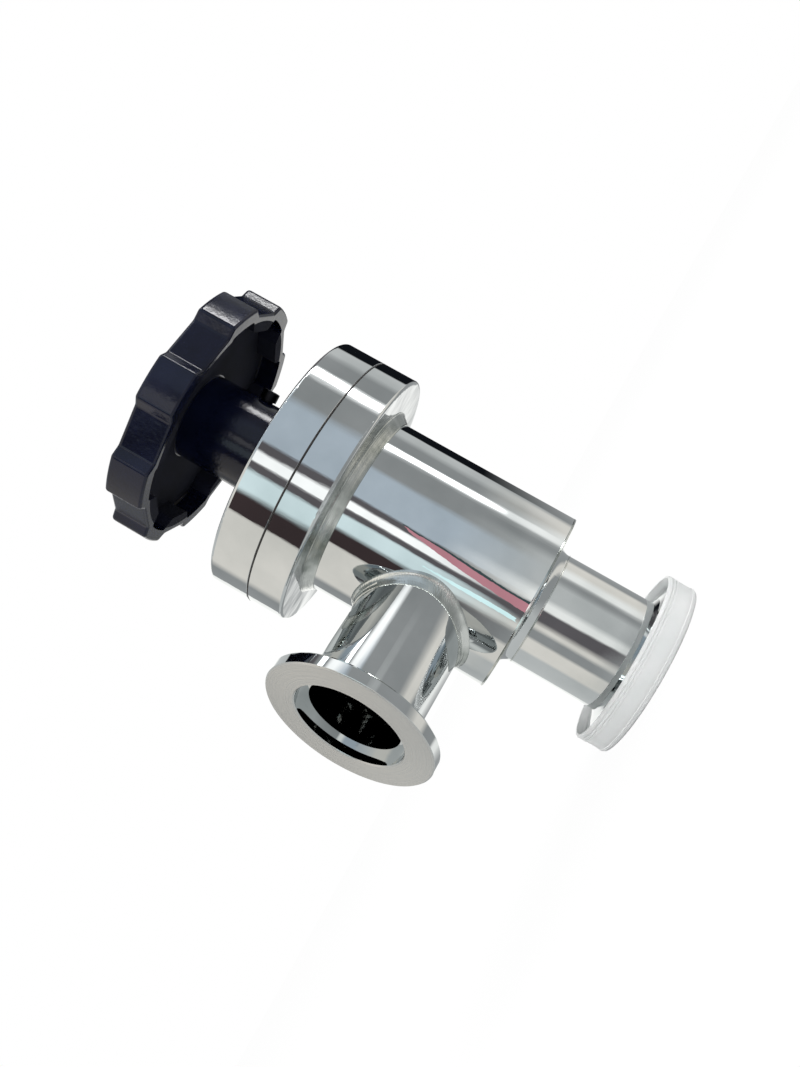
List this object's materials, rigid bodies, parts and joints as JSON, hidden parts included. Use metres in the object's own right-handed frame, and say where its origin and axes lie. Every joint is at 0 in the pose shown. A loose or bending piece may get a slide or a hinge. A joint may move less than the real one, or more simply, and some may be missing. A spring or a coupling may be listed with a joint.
{
  "type": "right-angle vacuum valve",
  "caption": "Hand-operated right-angle vacuum valve: flanged barrel, two small-flange ports, bellows-sealed disc inside, lobed black handwheel on top.",
  "frame": {"origin": "centre of the dust cap's outer face, on the main axis, which the valve stands on", "axes": "+Z along the main axis to the handwheel; -Y out of the side port; +X to the right when the side port faces the viewer"},
  "size_m": [0.064, 0.082, 0.1266],
  "materials": {
    "polished_steel": "mirror-polished stainless steel",
    "plain_steel": "turned stainless steel",
    "bearing_steel": "ground and polished",
    "black_oxide_steel": "black oxide",
    "turned_brass": "turned",
    "black_phenolic": "glossy moulding",
    "milky_polyethylene": "translucent moulding",
    "seal_rubber": "moulded"
  },
  "bodies": {
    "valve_body": {"barrel": "polished_steel", "body_flange": "polished_steel", "seat_plate": "polished_steel", "side_port": "polished_steel", "end_port": "polished_steel", "dust_cap": "milky_polyethylene", "bonnet": "polished_steel", "bonnet_screws": "plain_steel", "bonnet_seal": "seal_rubber", "bellows_top_plate": "plain_steel", "guide_sleeve": "plain_steel", "spindle_nut": "turned_brass", "spindle_wiper": "seal_rubber", "bellows": "plain_steel"},
    "lift_carriage": {"lift_rod": "plain_steel", "guide_pins": "plain_steel", "bellows_cuff": "plain_steel", "valve_disc": "plain_steel", "disc_seal": "seal_rubber", "disc_washer": "plain_steel", "disc_screw": "plain_steel", "thrust_ball": "bearing_steel", "spindle_retainer": "turned_brass"},
    "handwheel_and_spindle": {"spindle": "plain_steel", "hub_insert": "turned_brass", "hub_screw": "black_oxide_steel", "handwheel": "black_phenolic"}
  },
  "joints": [
    {"name": "disc_lift", "type": "slide", "parent": "valve_body", "child": "lift_carriage", "axis": [0, 0, 1], "range_m": [0, 0.01], "deforming": ["bellows"]},
    {"name": "wheel_turn", "type": "hinge", "parent": "lift_carriage", "child": "handwheel_and_spindle", "pos_m": [0, 0, 0.1], "axis": [0, 0, 1], "range_deg": [0, 1800]}
  ],
  "couplings": [
    {"joint": "disc_lift", "follows": "wheel_turn", "m_per_rad": 0.0003183}
  ]
}
